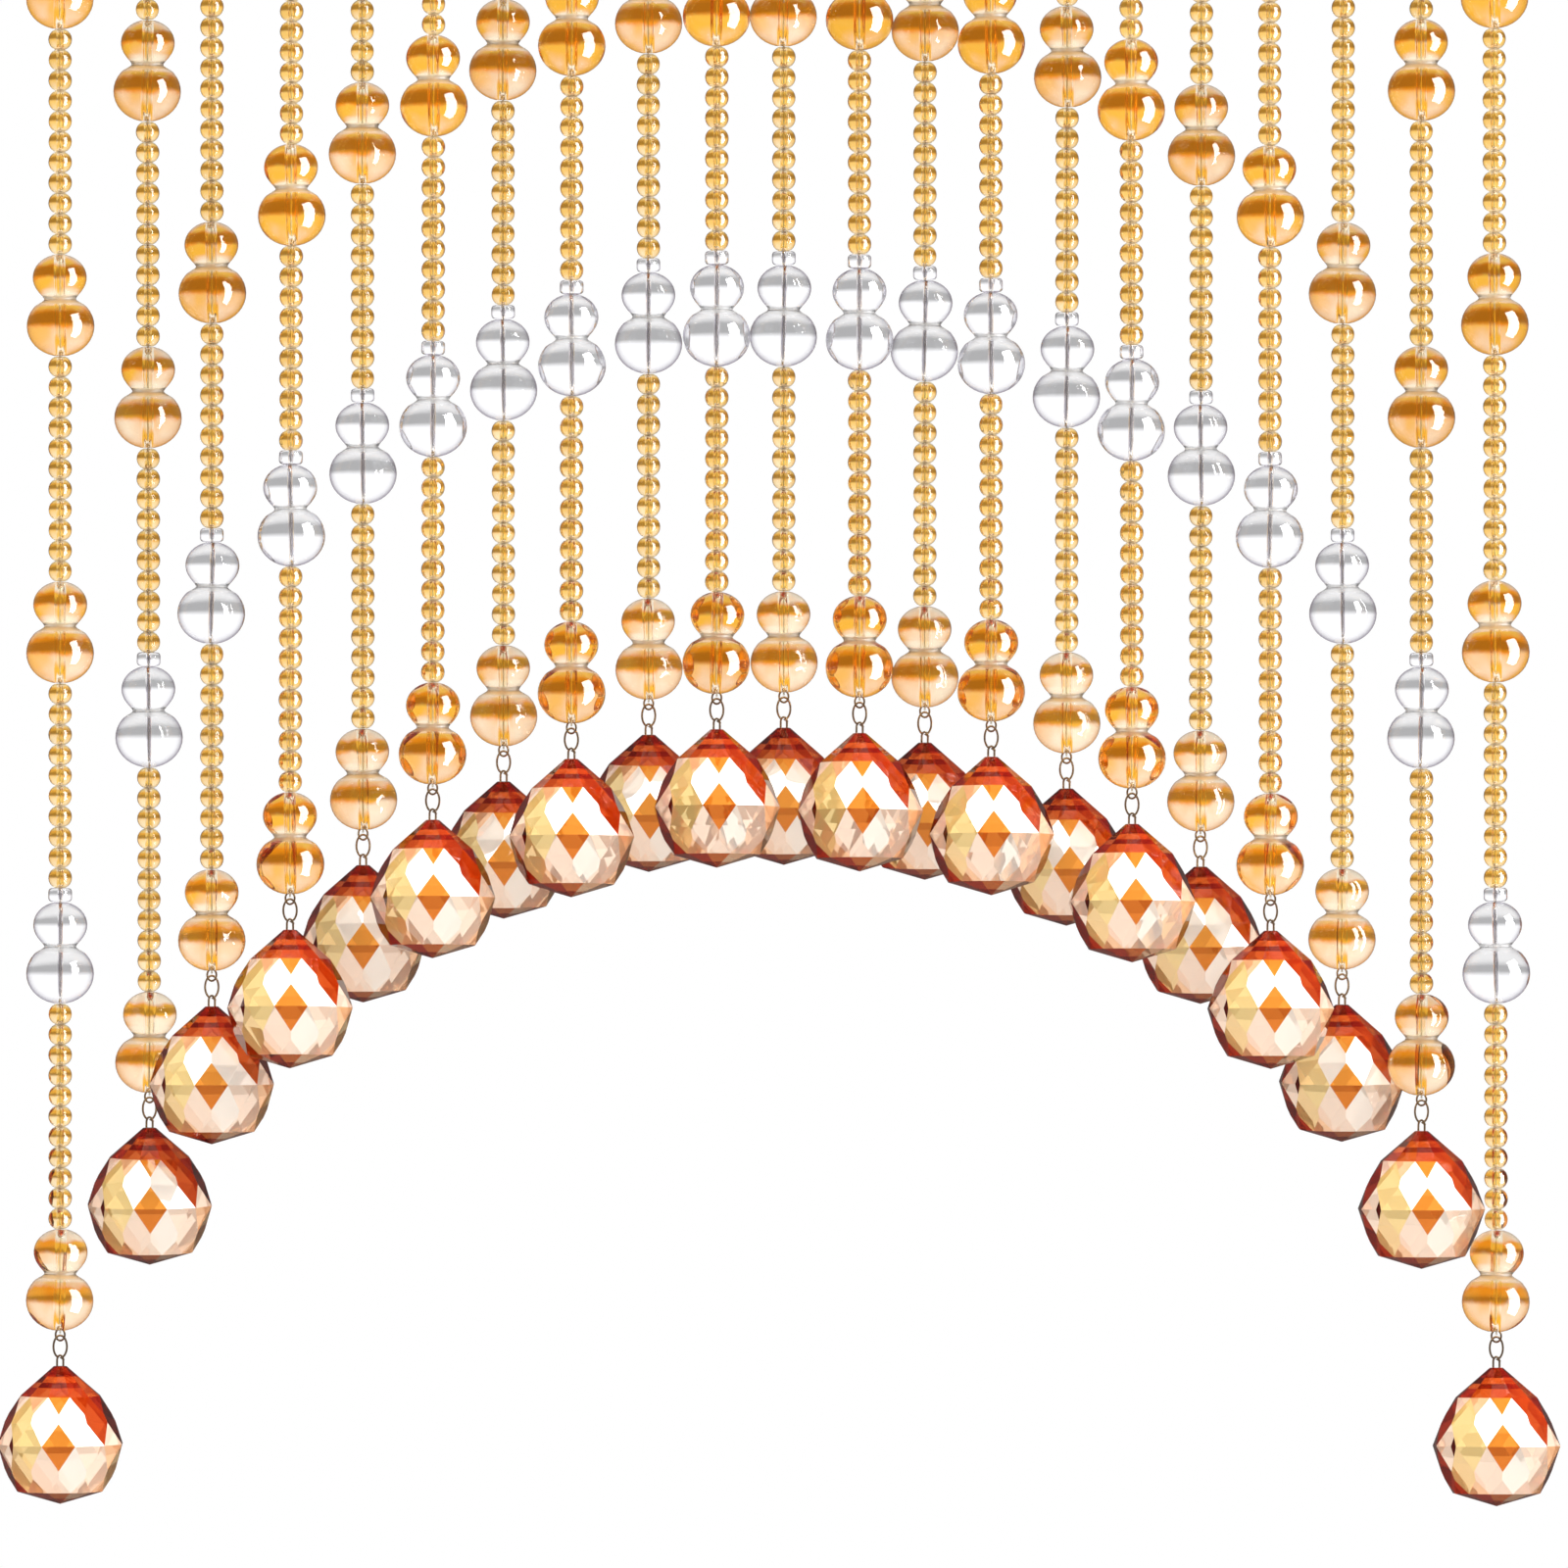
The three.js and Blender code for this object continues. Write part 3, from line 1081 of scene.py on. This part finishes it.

# On the left of the belt, one diamond has a small corner cut off it, painted dark as shade.
cut_belt = 10
cut_up = 0.42
cut_along = 0.26
belt_end = ring_corner(4, cut_belt)
cut_above = len(ball_corners)
cut_below = cut_above + 1
cut_beside = cut_above + 2
for corner, share in [
    (ring_corner(3, cut_belt), cut_up),
    (ring_corner(5, cut_belt), cut_up),
    (ring_corner(4, cut_belt - 1), cut_along),
]:
    ball_corners.append(ball_corners[belt_end].lerp(ball_corners[corner], share))
for index, (kind, k, corners) in enumerate(ball_facets):
    if k != cut_belt:
        continue
    if kind == "belt top":
        corners = [corners[0], corners[1], cut_beside, cut_above]
    if kind == "belt foot":
        corners = [corners[0], cut_below, cut_beside, corners[2]]
    if kind == "upper":
        corners = [*corners[:3], cut_above, *corners[3:]]
    if kind == "lower":
        corners = [*corners[:4], cut_below, *corners[4:]]
    ball_facets[index] = (kind, k, corners)
ball_facets.append(("belt cut", 0, [cut_above, cut_beside, belt_end]))
ball_facets.append(("belt cut", 0, [cut_below, belt_end, cut_beside]))

# Colours of the facets in order round the ball, from the one that faces the viewer. They are the
# amber glass's colour with painted reflections and painted shade: the white, pale, amber and dark
# red facets of the front half stand for the room's light and dark seen in the cut glass. The glass
# behind it is nearly clear. The mesh holds their squares, because glass tints light by the root of
# its colour at each surface.
garnet = (0.16, 0.008, 0.002)
wine = (0.36, 0.03, 0.008)
ruby = (0.50, 0.045, 0.010)
rust = (0.70, 0.22, 0.06)
flame = (0.69, 0.16, 0.035)
amber = (0.88, 0.46, 0.10)
honey = (0.78, 0.31, 0.06)
straw = (0.95, 0.80, 0.46)
gold = (0.95, 0.76, 0.46)
peach = (1.0, 0.72, 0.50)
blush = (1.0, 0.87, 0.76)
clear = (1.0, 0.96, 0.90)
facet_colours_with_painted_light = {
    "cap": [wine] * 12,
    "crown row 1": [wine, ruby] * 6,
    "crown row 2": [rust, flame, rust, ruby, rust, ruby, rust, ruby, rust, ruby, garnet, rust],
    "crown row 3": [wine, ruby, rust, wine, ruby, wine, ruby, wine, ruby, wine, rust, wine],
    "crown row 4": [flame, flame, rust, wine, ruby, flame, ruby, flame, ruby, wine, ruby, rust],
    "shoulder": [amber, flame, ruby, garnet, peach, blush, peach, blush, peach, garnet, blush, peach],
    "upper": [clear, flame, garnet, peach, clear, blush, clear, blush, peach, ruby, straw, clear],
    "belt top": [amber, clear, blush, garnet, blush, clear, clear, clear, blush, garnet, blush, straw],
    "belt foot": [honey, blush, peach, garnet, blush, clear, clear, clear, blush, garnet, blush, straw],
    "belt cut": [garnet],
    "lower": [clear, blush, gold, blush, straw, clear, blush, clear, straw, ruby, gold, blush],
    "hip": [blush, blush, peach, ruby, blush, clear, clear, clear, peach, garnet, ruby, peach],
    "base": [rust, peach, peach, ruby, peach, peach, peach, peach, ruby, wine, wine, ruby],
}
crystal_clearness = 0.72
ball_turns = (1.5, 3.5)
crystal_rim_painted_shade = (0.02, 0.0005, 0.0002, 1)
crystal_rim_range = (0.55, 0.90)

ball_mesh = bpy.data.meshes.new("crystal_ball")
ball_mesh.from_pydata([corner * MM for corner in ball_corners], [], [facet[2] for facet in ball_facets])
# Each facet's corners hold its glass colour with its painted reflection and painted shade.
tint_and_painted_light = ball_mesh.color_attributes.new("tint_and_painted_light", "FLOAT_COLOR", "CORNER")
for polygon, (kind, k, corners) in zip(ball_mesh.polygons, ball_facets):
    red, green, blue = facet_colours_with_painted_light[kind][k]
    for loop in polygon.loop_indices:
        tint_and_painted_light.data[loop].color = (red**2, green**2, blue**2, 1)

amber_crystal, nodes, links, shader = new_glass("amber crystal", crystal_clearness)
# Towards their outline the facets darken to nearly black as painted shade.
edge = ranged(nodes, links, turned_away(nodes), *crystal_rim_range, smooth=True)
rimmed = mixed_colour(nodes, links, edge, stored(nodes, "tint_and_painted_light").outputs["Color"], crystal_rim_painted_shade)
links.new(rimmed, shader.inputs["Base Color"])
place = nodes.new("ShaderNodeTexCoord")
in_millimetres = nodes.new("ShaderNodeVectorMath")
in_millimetres.operation = "SCALE"
in_millimetres.inputs["Scale"].default_value = 1 / MM
links.new(place.outputs["Object"], in_millimetres.inputs[0])
smudged(nodes, links, shader, in_millimetres.outputs["Vector"], most=0.02)
ball_mesh.materials.append(amber_crystal)

for strand in strands:
    ball = hang_piece(
        "cut_ball",
        ball_mesh,
        strand,
        node="crystal_ball",
        height=-ball_tip_height,
        turn=bead_chance.uniform(*ball_turns),
    )
    cut_glass_lit.objects.link(ball)
